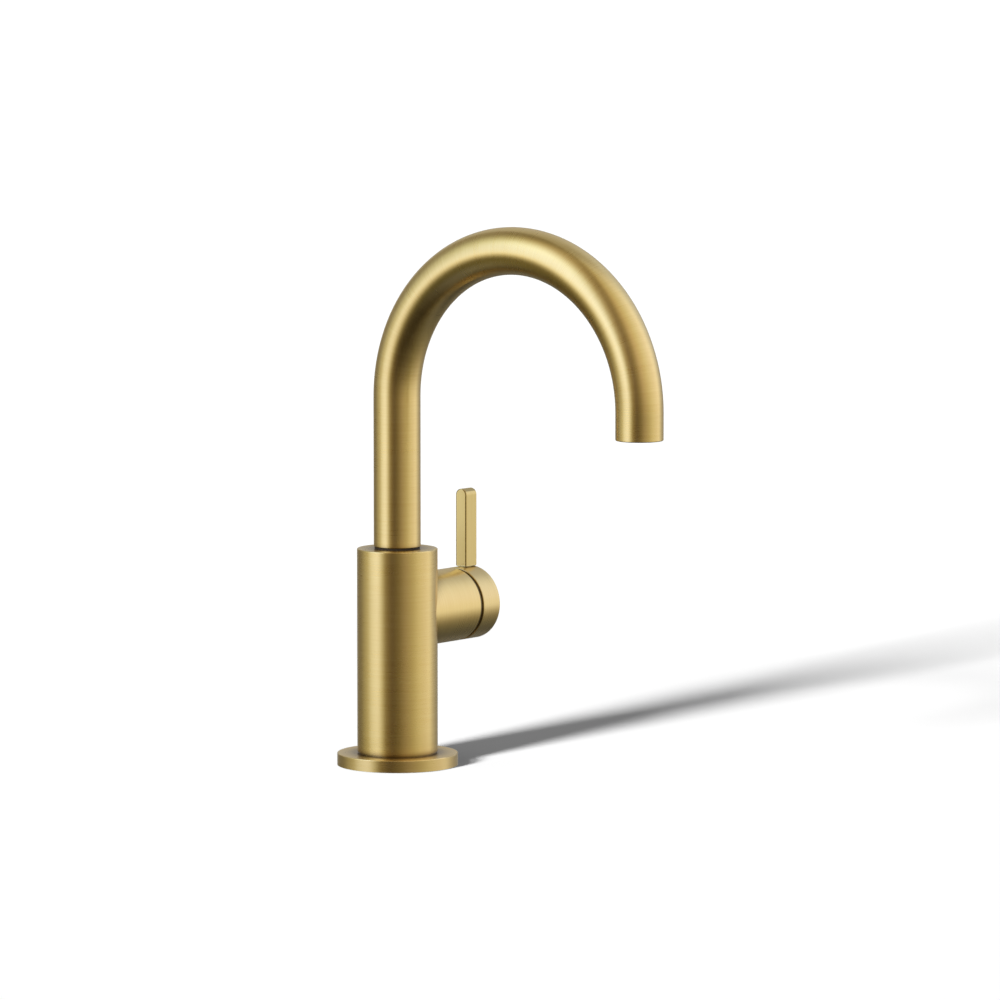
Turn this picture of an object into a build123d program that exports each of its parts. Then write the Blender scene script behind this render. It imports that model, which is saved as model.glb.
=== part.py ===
from build123d import *
import os
from math import cos, radians, sin, sqrt

# A single lever beverage faucet for one hole in a worktop.
# Millimetres, +Z up, origin where the faucet's own axis meets the worktop.
# The spout reaches along -Y and the handle's axis points along +X.

# Base plate
plate_dia = 57.2
plate_thick = 5.7
plate_edge = 0.4
gasket_inner_dia = 39.0
gasket_width = 6.6
gasket_thick = 1.8
gasket_clear = 0.2

# Body
body_dia = 38.1
body_top = 103.0
body_edge = 0.5
foot_relief = 0.8
foot_relief_height = 0.8
spigot_wall = 2.8
spigot_depth = 4.2
spigot_clear = 0.1
inlet_dia = 11.0
drill_tip_angle = 118.0

# Mounting shank, nut and washers under the worktop
deck_thick = 25.0
shank_dia = 26.0
shank_in_body = 18.0
shank_below_nut = 4.0
shank_bore_dia = 14.0
shank_nose_dia = 21.8
shank_nose_length = 6.5
seal_bore_clear = 0.06
shoulder_clear = 0.3
thread_clear = 0.05
inlet_thread_dia = 20.96
inlet_thread_length = 20.0
inlet_thread_chamfer = 1.0
thread_relief_width = 2.0
thread_relief_depth = 1.2
nut_flats = 34.0
nut_thick = 8.0
washer_clear = 0.3
rubber_washer_dia = 44.0
rubber_washer_thick = 3.0
steel_washer_dia = 42.0
steel_washer_thick = 2.0

# O-rings and their grooves
ring_wire = 1.5
ring_squeeze_gap = 0.07
groove_width = 2.2

# Valve boss and its chamber, along the handle's axis from the body's axis
valve_height = 72.2
boss_dia = 34.9
boss_end = 42.2
chamber_floor = 7.5
seat_rise = 1.0
seat_port_dia = 9.0
seat_ring_dia = 14.4
chamber_dia = 22.0
chamber_end = 19.5
cartridge_thread_dia = 24.0
flange_seat = 28.0
boss_recess_dia = 28.6
duct_dia = 4.8
duct_top_offset = 7.0
duct_slope = 34.0

# Cartridge
seal_thick = 2.2
seal_width = 2.3
disc_dia = 14.6
disc_clear = 0.15
fixed_disc_thick = 3.0
moving_disc_thick = 2.8
disc_gap = 0.02
port_inner_dia = 4.6
port_outer_dia = 12.2
port_sweep = 76.0
nose_wall = 1.5
window_width = 8.0
window_margin = 0.4
neck_gap = 2.2
flange_dia = 28.0
flange_thick = 1.6
hex_flats = 23.0
hex_height = 5.0
neck_dia = 16.0
neck_height = 4.2

# Spindle
stem_dia = 10.0
stem_clear = 0.06
stem_neck_dia = 6.4
stem_head_thick = 1.6
blade_width = 2.0
blade_depth = 1.1
blade_clear = 0.06
slide_washer_thick = 1.0
ring_pitch = 3.4
first_ring_offset = 4.0
clip_thick = 1.0
clip_width = 2.2
clip_depth = 0.9
clip_gap = 0.08
collar_height = 0.9
drive_square = 7.0
drive_corner_dia = 8.8
drive_length = 12.0
drive_clear = 0.06

# Handle hub, lever and their ring
hub_gap = 1.85
hub_ring_recess = 0.85
hub_ring_wall = 1.0
hub_ring_depth = 3.4
hub_ring_lip = 2.4
hub_length = 12.65
hub_edge = 0.5
hub_cavity_dia = 28.0
hub_cavity_depth = 4.45
hub_boss_dia = 14.0
hub_boss_reach = 3.05
running_gap = 0.1
lever_width = 8.4
lever_thick = 6.5
lever_top = 127.0
lever_top_radius = 3.0
lever_edge = 0.65
stud_dia = 5.0
stud_depth = 8.0
screw_dia = 4.0
screw_length = 6.0
screw_setback = 5.7
screw_tip_gap = 0.05

# Spout tube
tube_dia = 22.2
tube_wall = 1.2
tube_edge = 0.35
arch_radius = 71.3
arch_height = 175.2
outlet_straight = 12.5

# Swivel nose in the body's socket
foot_gap = 0.8
socket_floor = 86.0
socket_clear = 0.15
nose_floor_gap = 0.6
nose_bore_dia = 13.6
nose_in_tube = 14.0
braze_gap = 0.04
nose_chamfer = 0.6
groove_land = 0.8
lower_bush_height = 2.8
lower_bush_wall = 1.3
lower_bush_clear = 0.06
split_ring_thick = 1.2
split_ring_width = 1.6
split_ring_float = 0.15
split_ring_opening = 3.0
upper_bush_height = 3.1
upper_bush_wall = 0.95
upper_bush_flange = 0.3

# Outlet
sleeve_setback = 0.5
sleeve_wall = 0.6
sleeve_shoulder = 1.4
sleeve_shoulder_width = 2.2
aerator_setback = 2.3
aerator_height = 8.2
aerator_wall = 1.0
aerator_lip = 0.9
aerator_lip_height = 1.2
insert_height = 3.4
insert_clear = 0.05
cell_flats = 1.7
cell_pitch = 2.15
cell_rings = 3
screen_thick = 0.4
screen_rise = 1.2
screen_gap = 0.1
aerator_gasket_thick = 1.4

# Places worked out from the sizes above
body_radius = body_dia / 2
boss_radius = boss_dia / 2
tube_radius = tube_dia / 2
tube_bore = tube_radius - tube_wall
overrun = 1.0

shank_radius = shank_dia / 2
shank_top = plate_thick - spigot_depth + shank_in_body
spigot_radius = shank_radius + thread_clear + spigot_wall
spigot_bottom = plate_thick - spigot_depth
inlet_radius = inlet_dia / 2
rubber_low = -deck_thick - rubber_washer_thick
steel_low = rubber_low - steel_washer_thick
nut_low = steel_low - nut_thick
clamp_thread_low = nut_low - shank_below_nut
shank_low = clamp_thread_low - thread_relief_width - inlet_thread_length

seat_face = chamber_floor + seat_rise
fixed_disc_low = seat_face + seal_thick
moving_disc_low = fixed_disc_low + fixed_disc_thick + disc_gap
moving_disc_high = moving_disc_low + moving_disc_thick
disc_radius = disc_dia / 2
disc_bore = disc_radius + disc_clear
nose_radius = disc_bore + nose_wall
head_low = moving_disc_high + neck_gap
head_high = head_low + stem_head_thick
slide_washer_high = head_high + slide_washer_thick
shoulder = slide_washer_high + disc_gap
stem_radius = stem_dia / 2
stem_bore = stem_radius + stem_clear
hex_high = flange_seat + flange_thick + hex_height
neck_high = hex_high + neck_height
clip_low = neck_high + clip_gap
clip_high = clip_low + clip_thick
collar_low = clip_high + clip_gap
collar_high = collar_low + collar_height
drive_high = collar_high + drive_length

hub_low = boss_end + hub_gap
hub_high = hub_low + hub_length
hub_floor = hub_low + hub_cavity_depth
hub_boss_low = hub_low - hub_boss_reach
boss_recess_radius = boss_recess_dia / 2
hub_cavity_radius = hub_cavity_dia / 2
lever_middle = hub_high - lever_width / 2
screw_middle = hub_high - screw_setback

socket_radius = tube_bore - braze_gap + socket_clear
swivel_radius = tube_bore - braze_gap
nose_low = socket_floor + nose_floor_gap
lower_bush_low = nose_low + nose_chamfer + groove_land / 2
lower_bush_high = lower_bush_low + lower_bush_height
first_groove_low = lower_bush_high + groove_land
second_groove_low = first_groove_low + groove_width + groove_land
split_low = second_groove_low + groove_width + groove_land
split_high = split_low + split_ring_thick
upper_bush_low = body_top - upper_bush_height
neck_radius = socket_radius + upper_bush_flange - upper_bush_wall
bush_seat_radius = neck_radius + running_gap + upper_bush_wall
tube_foot = body_top + foot_gap

outlet_low = arch_height - outlet_straight
sleeve_radius = tube_bore - braze_gap
sleeve_bore = sleeve_radius - sleeve_wall
aerator_low = outlet_low + aerator_setback
aerator_high = aerator_low + aerator_height
gasket_high = aerator_high + aerator_gasket_thick
sleeve_high = gasket_high + sleeve_shoulder
aerator_radius = sleeve_bore - thread_clear
aerator_bore = aerator_radius - aerator_wall
insert_low = aerator_low + aerator_lip_height
insert_high = insert_low + insert_height

# The handle's axis: its own z runs along +X, its own x points up.
valve_frame = Plane(origin=(0, 0, valve_height), x_dir=(0, 0, 1), z_dir=(1, 0, 0))
outlet_frame = Pos(0, -2 * arch_radius, 0)


def turned(corners):
    """A solid turned about the Z axis from its (radius, height) corners."""
    outline = Polyline([(radius, 0, height) for radius, height in corners], close=True)
    return revolve(make_face(outline), Axis.Z)


def rod(radius, low, high):
    """A round bar on the Z axis."""
    return turned([(0, low), (radius, low), (radius, high), (0, high)])


def ring(inner, outer, low, high):
    """A flat or tall ring on the Z axis."""
    return turned([(inner, low), (outer, low), (outer, high), (inner, high)])


def bar(width, depth, low, high):
    """A rectangular bar on the Z axis."""
    return Pos(0, 0, low) * extrude(Rectangle(width, depth), high - low)


def hexagon(flats, low, high):
    """A hexagon with its corners chamfered at both ends, as on a nut."""
    corner = flats / sqrt(3)
    bevel = (corner - flats / 2) / 2
    blank = Pos(0, 0, low) * extrude(RegularPolygon(flats / 2, 6, major_radius=False), high - low)
    envelope = turned([
        (0, low), (flats / 2, low), (corner, low + bevel),
        (corner, high - bevel), (flats / 2, high), (0, high),
    ])
    return blank & envelope


def sector(inner, outer, sweep, heading, low, high):
    """A ring segment around the Z axis, centred on a heading in degrees."""
    start = heading - sweep / 2
    inside = CenterArc((0, 0), inner, start, sweep)
    outside = CenterArc((0, 0), outer, start, sweep)
    sides = [Line(inside @ 0, outside @ 0), Line(inside @ 1, outside @ 1)]
    return Pos(0, 0, low) * extrude(make_face([inside, outside, *sides]), high - low)


def o_ring(floor_radius, wall_radius, height):
    """A rubber ring between a groove's floor and the wall it seals on."""
    wire_radius = (wall_radius - floor_radius) / 2 - ring_squeeze_gap
    return Pos(0, 0, height) * Torus((floor_radius + wall_radius) / 2, wire_radius)


def split_ring(inner, outer, opening, low, high):
    """A snap ring with its opening on the +X side."""
    cut = Pos(outer, 0, 0) * bar(2 * outer, opening, low, high)
    return ring(inner, outer, low, high) - cut


def ring_groove(wall_radius, low):
    """The space cut for an O-ring below a turned surface."""
    floor_radius = wall_radius - ring_wire - 2 * ring_squeeze_gap
    return ring(floor_radius, wall_radius + overrun, low, low + groove_width)


def make_escutcheon():
    inner = gasket_inner_dia / 2
    radius = plate_dia / 2
    plate = ring(spigot_radius + spigot_clear, radius, 0, plate_thick)
    rim = plate.edges().filter_by(GeomType.CIRCLE).filter_by(lambda edge: edge.radius == radius)
    plate = fillet(rim.sort_by(Axis.Z)[-1], plate_edge)
    recess = ring(inner - gasket_clear, inner + gasket_width + gasket_clear, 0, gasket_thick)
    return plate - recess


def make_deck_gasket():
    inner = gasket_inner_dia / 2
    return ring(inner, inner + gasket_width, 0, gasket_thick)


def body_outside():
    """The upright cylinder, its relieved foot, its spigot and the valve boss."""
    foot = plate_thick + foot_relief_height
    upright = turned([
        (0, spigot_bottom), (spigot_radius, spigot_bottom), (spigot_radius, plate_thick),
        (body_radius - foot_relief, plate_thick), (body_radius - foot_relief, foot),
        (body_radius, foot), (body_radius, body_top), (0, body_top),
    ])
    upright = fillet(upright.edges().sort_by(Axis.Z)[-1], body_edge)
    boss = valve_frame * rod(boss_radius, 0, boss_end)
    boss = fillet(boss.edges().sort_by(Axis.X)[-1], body_edge)
    return upright + boss


def inlet_passage():
    """The shank's threaded hole, its sealing bore and the drilled riser."""
    nose_bore = shank_nose_dia / 2 + seal_bore_clear
    threaded = shank_radius + thread_clear
    nose_high = shank_top + shank_nose_length + shoulder_clear
    shoulder_high = valve_height + seat_port_dia / 2
    tip = inlet_radius / sin(radians(drill_tip_angle / 2)) * cos(radians(drill_tip_angle / 2))
    thread_high = shank_top + shoulder_clear
    return turned([
        (0, spigot_bottom - overrun), (threaded, spigot_bottom - overrun), (threaded, thread_high),
        (nose_bore, thread_high), (nose_bore, nose_high), (inlet_radius, nose_high),
        (inlet_radius, shoulder_high), (0, shoulder_high + tip),
    ])


def spout_socket():
    """The swivel socket, with the split ring's groove and the bush's seat."""
    groove_radius = socket_radius + split_ring_width / 2
    bush_seat = bush_seat_radius + thread_clear
    return turned([
        (0, socket_floor), (socket_radius, socket_floor), (socket_radius, split_low - split_ring_float),
        (groove_radius, split_low - split_ring_float), (groove_radius, split_high + split_ring_float),
        (socket_radius, split_high + split_ring_float), (socket_radius, upper_bush_low - running_gap),
        (bush_seat, upper_bush_low - running_gap), (bush_seat, body_top + overrun), (0, body_top + overrun),
    ])


def valve_cavity():
    """The chamber round the cartridge, with its raised seat and its thread."""
    threaded = cartridge_thread_dia / 2 + thread_clear
    return turned([
        (0, seat_face), (seat_ring_dia / 2, seat_face), (seat_ring_dia / 2, chamber_floor),
        (chamber_dia / 2, chamber_floor), (chamber_dia / 2, chamber_end), (threaded, chamber_end),
        (threaded, flange_seat), (boss_recess_radius, flange_seat),
        (boss_recess_radius, boss_end + overrun), (0, boss_end + overrun),
    ])


def outlet_duct():
    """The slanted drilling from the socket's floor down to the chamber."""
    downhill = (sin(radians(duct_slope)), 0, -cos(radians(duct_slope)))
    start = Plane(origin=(duct_top_offset, 0, socket_floor), z_dir=downhill)
    to_chamber = (socket_floor - valve_height) / cos(radians(duct_slope))
    return start * rod(duct_dia / 2, -duct_dia, to_chamber)


def make_faucet_body():
    seat_port = valve_frame * rod(seat_port_dia / 2, 0, seat_face + overrun)
    passages = inlet_passage() + seat_port + outlet_duct()
    return body_outside() - spout_socket() - valve_frame * valve_cavity() - passages


def make_mounting_shank():
    bore = shank_bore_dia / 2
    nose = shank_nose_dia / 2
    pipe = inlet_thread_dia / 2
    relief = pipe - thread_relief_depth
    pipe_high = clamp_thread_low - thread_relief_width
    shank = turned([
        (bore, shank_low), (pipe - inlet_thread_chamfer, shank_low),
        (pipe, shank_low + inlet_thread_chamfer), (pipe, pipe_high), (relief, pipe_high),
        (relief, clamp_thread_low), (shank_radius, clamp_thread_low), (shank_radius, shank_top),
        (nose, shank_top), (nose, shank_top + shank_nose_length), (bore, shank_top + shank_nose_length),
    ])
    return shank - ring_groove(nose, shank_top + (shank_nose_length - groove_width) / 2)


def make_shank_o_ring():
    nose = shank_nose_dia / 2
    return o_ring(
        nose - ring_wire - 2 * ring_squeeze_gap, nose + seal_bore_clear, shank_top + shank_nose_length / 2
    )


def make_deck_washer_rubber():
    return ring(shank_radius + washer_clear, rubber_washer_dia / 2, rubber_low, -deck_thick)


def make_deck_washer_steel():
    return ring(shank_radius + washer_clear, steel_washer_dia / 2, steel_low, rubber_low)


def make_mounting_nut():
    threaded = shank_radius + thread_clear
    return hexagon(nut_flats, nut_low, steel_low) - rod(threaded, nut_low, steel_low)


def make_seat_seal():
    outer = disc_radius
    return valve_frame * ring(outer - seal_width, outer, seat_face, fixed_disc_low)


def disc_ports(heading, low, high):
    """Two opposite openings through a ceramic disc."""
    inner = port_inner_dia / 2
    outer = port_outer_dia / 2
    return [sector(inner, outer, port_sweep, heading + turn, low, high) for turn in (0, 180)]


def make_fixed_disc():
    high = fixed_disc_low + fixed_disc_thick
    disc = rod(disc_radius, fixed_disc_low, high)
    return valve_frame * (disc - disc_ports(0, fixed_disc_low, high))


def make_moving_disc():
    disc = rod(disc_radius, moving_disc_low, moving_disc_high)
    ports = disc_ports(90, moving_disc_low, moving_disc_high)
    slot_low = moving_disc_high - blade_depth - blade_clear
    slot = bar(disc_dia, blade_width + 2 * blade_clear, slot_low, moving_disc_high)
    return valve_frame * (disc - ports - slot)


def make_cartridge_housing():
    threaded = cartridge_thread_dia / 2
    nose_low_end = chamber_floor + shoulder_clear
    hex_low = flange_seat + flange_thick
    turned_part = turned([
        (disc_bore, nose_low_end), (nose_radius, nose_low_end), (nose_radius, chamber_end + shoulder_clear),
        (threaded, chamber_end + shoulder_clear), (threaded, flange_seat), (flange_dia / 2, flange_seat),
        (flange_dia / 2, hex_low), (neck_dia / 2, hex_low), (neck_dia / 2, neck_high),
        (stem_bore, neck_high), (stem_bore, shoulder), (disc_bore, shoulder),
    ])
    nut_part = hexagon(hex_flats, hex_low, hex_high) - rod(neck_dia / 2, hex_low, hex_high)
    window_low = moving_disc_low + window_margin
    window_high = head_low - window_margin
    windows = [
        bar(2 * nose_radius + overrun, window_width, window_low, window_high),
        bar(window_width, 2 * nose_radius + overrun, window_low, window_high),
    ]
    groove = ring_groove(threaded, flange_seat - groove_width)
    return valve_frame * (turned_part + nut_part - windows - groove)


def make_cartridge_o_ring():
    threaded = cartridge_thread_dia / 2
    floor_radius = threaded - ring_wire - 2 * ring_squeeze_gap
    return valve_frame * o_ring(floor_radius, threaded + thread_clear, flange_seat - groove_width / 2)


def stem_groove_lows():
    """Where the spindle's two O-ring grooves start."""
    first = shoulder + first_ring_offset
    return [first, first + ring_pitch]


def make_valve_stem():
    head_radius = disc_radius
    clip_floor = stem_radius - clip_depth
    stem = turned([
        (0, moving_disc_high), (stem_neck_dia / 2, moving_disc_high), (stem_neck_dia / 2, head_low),
        (head_radius, head_low), (head_radius, head_high), (stem_radius, head_high),
        (stem_radius, clip_low - clip_gap), (clip_floor, clip_low - clip_gap), (clip_floor, collar_low),
        (stem_radius, collar_low), (stem_radius, collar_high), (0, collar_high),
    ])
    blade = bar(disc_dia - 2 * disc_clear, blade_width, moving_disc_high - blade_depth, moving_disc_high)
    neck_blade = rod(disc_radius - disc_clear, moving_disc_high - blade_depth, moving_disc_high) & blade
    square = bar(drive_square, drive_square, collar_high, drive_high)
    drive = square & rod(drive_corner_dia / 2, collar_high, drive_high)
    grooves = [ring_groove(stem_radius, low) for low in stem_groove_lows()]
    return valve_frame * (stem + neck_blade + drive - grooves)


def make_stem_o_rings():
    floor_radius = stem_radius - ring_wire - 2 * ring_squeeze_gap
    rings = [o_ring(floor_radius, stem_bore, low + groove_width / 2) for low in stem_groove_lows()]
    return valve_frame * Compound(rings)


def make_stem_slide_washer():
    return valve_frame * ring(stem_bore, disc_radius, head_high, slide_washer_high)


def make_stem_clip():
    inner = stem_radius - clip_depth + clip_gap
    clip = split_ring(inner, inner + clip_width, stem_dia - 2 * clip_depth, clip_low, clip_high)
    return valve_frame * clip


def make_hub_glide_ring():
    seat = boss_recess_radius - thread_clear
    running = hub_cavity_radius - running_gap
    flange = boss_radius - hub_ring_recess
    inner = running - hub_ring_wall
    flange_high = hub_low - running_gap
    return valve_frame * turned([
        (inner, boss_end - hub_ring_depth), (seat, boss_end - hub_ring_depth), (seat, boss_end),
        (flange, boss_end), (flange, flange_high), (running, flange_high),
        (running, hub_low + hub_ring_lip), (inner, hub_low + hub_ring_lip),
    ])


def make_handle_hub():
    outside = rod(boss_radius, hub_low, hub_high)
    rims = outside.edges().filter_by(GeomType.CIRCLE)
    outside = fillet(rims, hub_edge)
    cavity = rod(hub_cavity_radius, hub_low, hub_floor)
    drive_boss = rod(hub_boss_dia / 2, hub_boss_low, hub_floor)
    square = drive_square + 2 * drive_clear
    drive_bore = bar(square, square, hub_boss_low, drive_high + drive_clear)
    corner_bore = rod(drive_corner_dia / 2 + drive_clear, hub_boss_low, drive_high + drive_clear)
    stud_low = boss_radius - stud_depth - shoulder_clear
    stud_hole = rod(stud_dia / 2 + thread_clear, stud_low, boss_radius + overrun)
    screw_hole = rod(screw_dia / 2 + thread_clear, 0, boss_radius + overrun)
    hub = outside - cavity + drive_boss - (drive_bore & corner_bore)
    hub = hub - across_hub(stud_hole, lever_middle, 1) - across_hub(screw_hole, screw_middle, -1)
    return valve_frame * hub


def across_hub(piece, along, side):
    """Lays an upright piece across the handle's axis, up (1) or down (-1) from it."""
    return Plane(origin=(0, 0, along), x_dir=(0, 1, 0), z_dir=(side, 0, 0)) * piece


def make_lever():
    reach = lever_top - valve_height
    blade = bar(lever_thick, lever_width, boss_radius, reach)
    ends = blade.edges().filter_by(Axis.Y).group_by(Axis.Z)[-1]
    blade = fillet(ends, lever_top_radius)
    outlines = blade.edges().filter_by(Axis.Y, reverse=True)
    foot = blade.edges().filter_by(Axis.Y).group_by(Axis.Z)[0]
    blade = fillet(outlines + foot, lever_edge)
    stud = rod(stud_dia / 2, boss_radius - stud_depth, boss_radius + overrun)
    return valve_frame * across_hub(blade + stud, lever_middle, 1)


def make_handle_set_screw():
    tip = drive_square / 2 + screw_tip_gap
    return valve_frame * across_hub(rod(screw_dia / 2, tip, tip + screw_length), screw_middle, -1)


def make_spout_tube():
    foot = (0, 0, tube_foot)
    shoulder_point = (0, 0, arch_height)
    rise = Line(foot, shoulder_point)
    arch_plane = Plane(origin=(0, -arch_radius, arch_height), x_dir=(0, 1, 0), z_dir=(1, 0, 0))
    arch = arch_plane * CenterArc((0, 0), arch_radius, 0, 180)
    drop = Line((0, -2 * arch_radius, arch_height), (0, -2 * arch_radius, outlet_low))
    section = Circle(tube_radius) - Circle(tube_bore)
    tube = sweep(Pos(*foot) * section, path=Curve() + [rise, arch, drop])
    ends = tube.edges().filter_by(GeomType.CIRCLE).filter_by(lambda edge: edge.radius == tube_radius)
    return chamfer(ends.sort_by(Axis.Z)[:2], tube_edge)


def make_spout_nose():
    bore = nose_bore_dia / 2
    high = tube_foot + nose_in_tube
    bush_floor = swivel_radius - lower_bush_wall
    split_floor = socket_radius - split_ring_width / 2 - split_ring_float
    nose = turned([
        (bore, nose_low), (swivel_radius - nose_chamfer, nose_low), (swivel_radius, nose_low + nose_chamfer),
        (swivel_radius, upper_bush_low - running_gap), (neck_radius, upper_bush_low - running_gap),
        (neck_radius, tube_foot + groove_land), (swivel_radius, tube_foot + groove_land),
        (swivel_radius, high), (bore, high),
    ])
    bush_groove = ring(bush_floor, swivel_radius + overrun, lower_bush_low, lower_bush_high)
    split_groove = ring(
        split_floor, swivel_radius + overrun, split_low - split_ring_float, split_high + split_ring_float
    )
    grooves = [ring_groove(swivel_radius, low) for low in (first_groove_low, second_groove_low)]
    return nose - bush_groove - split_groove - grooves


def make_spout_o_rings():
    floor_radius = swivel_radius - ring_wire - 2 * ring_squeeze_gap
    middles = [low + groove_width / 2 for low in (first_groove_low, second_groove_low)]
    return Compound([o_ring(floor_radius, socket_radius, middle) for middle in middles])


def make_lower_glide_ring():
    inner = swivel_radius - lower_bush_wall
    return ring(inner, socket_radius - lower_bush_clear, lower_bush_low, lower_bush_high)


def make_spout_retaining_ring():
    inner = socket_radius - split_ring_width / 2
    outer = socket_radius + split_ring_width / 2 - split_ring_float
    return split_ring(inner, outer, split_ring_opening, split_low, split_high)


def make_upper_glide_ring():
    inner = neck_radius + running_gap
    flange = bush_seat_radius + upper_bush_flange
    flange_high = tube_foot - running_gap
    return turned([
        (inner, upper_bush_low), (bush_seat_radius, upper_bush_low), (bush_seat_radius, body_top),
        (flange, body_top), (flange, flange_high), (inner, flange_high),
    ])


def make_aerator_sleeve():
    low = outlet_low + sleeve_setback
    inner = sleeve_bore - sleeve_shoulder_width
    return outlet_frame * turned([
        (sleeve_bore, low), (sleeve_radius, low), (sleeve_radius, sleeve_high),
        (inner, sleeve_high), (inner, gasket_high), (sleeve_bore, gasket_high),
    ])


def make_aerator_housing():
    lip = aerator_bore - aerator_lip
    return outlet_frame * turned([
        (lip, aerator_low), (aerator_radius, aerator_low), (aerator_radius, aerator_high),
        (aerator_bore, aerator_high), (aerator_bore, insert_low), (lip, insert_low),
    ])


def honeycomb_centres():
    """Middles of the cells, on rings round the centre cell."""
    centres = []
    for column in range(-cell_rings, cell_rings + 1):
        for row in range(-cell_rings, cell_rings + 1):
            if abs(column + row) <= cell_rings:
                centres.append((cell_pitch * (column + row / 2), cell_pitch * row * sqrt(3) / 2))
    return centres


def make_aerator_insert():
    disc = Circle(aerator_bore - insert_clear)
    cell = RegularPolygon(cell_flats / 2, 6, major_radius=False, rotation=30)
    cells = [Pos(x, y) * cell for x, y in honeycomb_centres()]
    return outlet_frame * Pos(0, 0, insert_low) * extrude(disc - cells, insert_height)


def make_aerator_screen():
    radius = aerator_bore - insert_clear
    low = insert_high + screen_gap
    return outlet_frame * turned([
        (0, low + screen_rise), (radius, low), (radius, low + screen_thick),
        (0, low + screen_rise + screen_thick),
    ])


def make_aerator_gasket():
    outer = aerator_radius
    return outlet_frame * ring(aerator_bore - aerator_lip, outer, aerator_high, gasket_high)


nodes = {
    "escutcheon": make_escutcheon,
    "deck_gasket": make_deck_gasket,
    "faucet_body": make_faucet_body,
    "mounting_shank": make_mounting_shank,
    "shank_o_ring": make_shank_o_ring,
    "deck_washer_rubber": make_deck_washer_rubber,
    "deck_washer_steel": make_deck_washer_steel,
    "mounting_nut": make_mounting_nut,
    "seat_seal": make_seat_seal,
    "fixed_disc": make_fixed_disc,
    "cartridge_housing": make_cartridge_housing,
    "cartridge_o_ring": make_cartridge_o_ring,
    "hub_glide_ring": make_hub_glide_ring,
    "upper_glide_ring": make_upper_glide_ring,
    "moving_disc": make_moving_disc,
    "valve_stem": make_valve_stem,
    "stem_o_rings": make_stem_o_rings,
    "stem_slide_washer": make_stem_slide_washer,
    "stem_clip": make_stem_clip,
    "handle_hub": make_handle_hub,
    "lever": make_lever,
    "handle_set_screw": make_handle_set_screw,
    "spout_tube": make_spout_tube,
    "spout_nose": make_spout_nose,
    "spout_o_rings": make_spout_o_rings,
    "lower_glide_ring": make_lower_glide_ring,
    "spout_retaining_ring": make_spout_retaining_ring,
    "aerator_sleeve": make_aerator_sleeve,
    "aerator_housing": make_aerator_housing,
    "aerator_insert": make_aerator_insert,
    "aerator_screen": make_aerator_screen,
    "aerator_gasket": make_aerator_gasket,
}

os.makedirs("parts", exist_ok=True)
for name, make in nodes.items():
    export_step(make(), f"parts/{name}.step")
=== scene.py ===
from collections import namedtuple
from math import cos, radians, sin, tau

import bpy
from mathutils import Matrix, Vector


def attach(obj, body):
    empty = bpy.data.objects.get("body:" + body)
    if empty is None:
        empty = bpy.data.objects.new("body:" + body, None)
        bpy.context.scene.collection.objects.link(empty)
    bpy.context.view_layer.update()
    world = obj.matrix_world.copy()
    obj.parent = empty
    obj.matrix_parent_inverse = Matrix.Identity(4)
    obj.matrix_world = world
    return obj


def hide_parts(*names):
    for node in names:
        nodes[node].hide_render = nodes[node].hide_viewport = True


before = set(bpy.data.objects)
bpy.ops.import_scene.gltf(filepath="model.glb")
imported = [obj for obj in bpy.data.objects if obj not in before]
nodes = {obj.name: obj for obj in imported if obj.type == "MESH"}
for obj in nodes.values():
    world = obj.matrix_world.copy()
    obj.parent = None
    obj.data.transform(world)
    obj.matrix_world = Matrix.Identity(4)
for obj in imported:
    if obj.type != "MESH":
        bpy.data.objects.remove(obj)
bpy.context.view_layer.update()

# The part's own sizes that the looks follow, in metres.
BODY_RADIUS = 0.01905
VALVE_HEIGHT = 0.0722
ARCH_RADIUS = 0.0713
ARCH_HEIGHT = 0.1752
MM = 0.001

# Camera, fitted to the photograph's outline.
LENS = 230.6
SENSOR_WIDTH = 36
CLIP_NEAR = 0.05
CLIP_FAR = 100
CAMERA_HEADING = radians(38.05)
CAMERA_PITCH = radians(6.21)
CAMERA_DISTANCE = 3.0217
AIM = Vector((0.0299, -0.0382, 0.1258))
FRONT = Vector((-cos(CAMERA_HEADING), -sin(CAMERA_HEADING), 0))
RIGHT = Vector((sin(CAMERA_HEADING), -cos(CAMERA_HEADING), 0))

# The key lamps, from the floor shadow's line: degrees from the camera's side, above the floor and across, and
# their strength.
KEYS = [("key_low", -34.7, 16.0, 10.0, 2.46), ("key_high", -34.7, 28.5, 8.0, 0.40)]
FILL_LEVEL = 0.25

# The floor: how far it reaches and lies under the plate, and its white to the camera and to other light.
FLOOR_REACH = 60.0
FLOOR_DROP = 0.2 * MM
FLOOR_WHITE = 1.968
FLOOR_BOUNCE = (0.8, 0.8, 0.8)
# Painted light on the floor: it gets whiter along the shadow, which fades the shadow's far end. Metres from
# the faucet's axis, and times FLOOR_WHITE.
FLOOR_LIFT = [(0.0, 1.0), (0.42, 1.0), (0.56, 1.07), (1.0, 1.08)]


def toward(turn, height):
    """The direction at a turn from the camera's side and a height above the floor, both in degrees."""
    level = FRONT * cos(radians(turn)) + RIGHT * sin(radians(turn))
    return level * cos(radians(height)) + Vector((0, 0, sin(radians(height))))


TO_KEY = toward(KEYS[0][1], KEYS[0][2])
SHADOW_WAY = -toward(KEYS[0][1], 0.0)

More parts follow.
